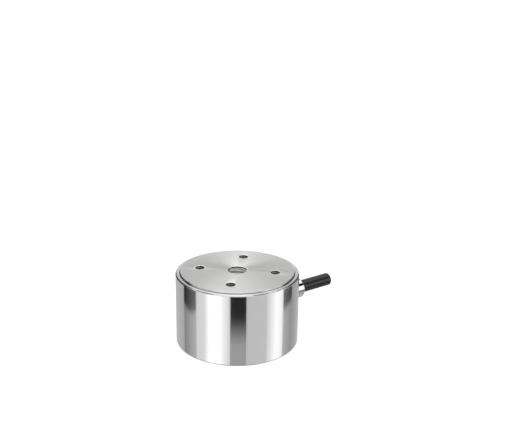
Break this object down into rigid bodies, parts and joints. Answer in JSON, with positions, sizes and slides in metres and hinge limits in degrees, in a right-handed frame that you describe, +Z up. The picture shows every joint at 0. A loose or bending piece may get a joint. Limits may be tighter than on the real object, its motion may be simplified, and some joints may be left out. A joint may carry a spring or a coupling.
{
  "type": "tension and compression force sensor",
  "caption": "Flat round steel load cell for push and pull, with threaded load faces on both ends, a spoked spring element inside and a side cable gland.",
  "frame": {"origin": "centre of the base face", "axes": "+Z up the load axis to the load face, +X out along the cable, +Y completes a right-handed frame"},
  "size_m": [0.0744, 0.05, 0.03],
  "materials": {
    "turned_steel": "fine turned, circular grain",
    "polished_steel": "polished, fine turning lines",
    "rolled_steel": "bright rolled",
    "brass": "bright",
    "gauge_film": "satin",
    "lead_film": "satin",
    "board": "gloss",
    "spacer": "satin",
    "chip": "satin",
    "black_rubber": "matt",
    "cable_jacket": "satin",
    "tinned_braid": "woven wire",
    "wire_red": "satin",
    "wire_black": "satin",
    "wire_green": "satin",
    "wire_white": "satin"
  },
  "bodies": {
    "root": {"spring_element": "turned_steel", "base_flange": "turned_steel", "outer_sleeve": "polished_steel", "sealing_diaphragm": "rolled_steel", "strain_gauge_1": "gauge_film", "strain_gauge_2": "gauge_film", "strain_gauge_3": "gauge_film", "strain_gauge_4": "gauge_film", "strain_gauge_5": "gauge_film", "strain_gauge_6": "gauge_film", "strain_gauge_7": "gauge_film", "strain_gauge_8": "gauge_film", "gauge_lead_1": "lead_film", "gauge_lead_2": "lead_film", "gauge_lead_3": "lead_film", "gauge_lead_4": "lead_film", "gauge_lead_5": "lead_film", "gauge_lead_6": "lead_film", "gauge_lead_7": "lead_film", "gauge_lead_8": "lead_film", "circuit_board": "board", "board_spacer": "spacer", "board_screw_1": "brass", "board_screw_2": "brass", "board_screw_3": "brass", "trim_resistor_1": "chip", "trim_resistor_2": "chip", "trim_resistor_3": "chip", "trim_resistor_4": "chip", "cable_jacket": "cable_jacket", "cable_screen": "tinned_braid", "conductor_1": "wire_red", "conductor_2": "wire_black", "conductor_3": "wire_green", "conductor_4": "wire_white", "crimp_ring": "brass", "gland_body": "polished_steel", "gland_cap": "polished_steel", "clamp_washer": "brass", "sealing_grommet": "black_rubber", "gland_oring": "black_rubber"}
  },
  "joints": []
}
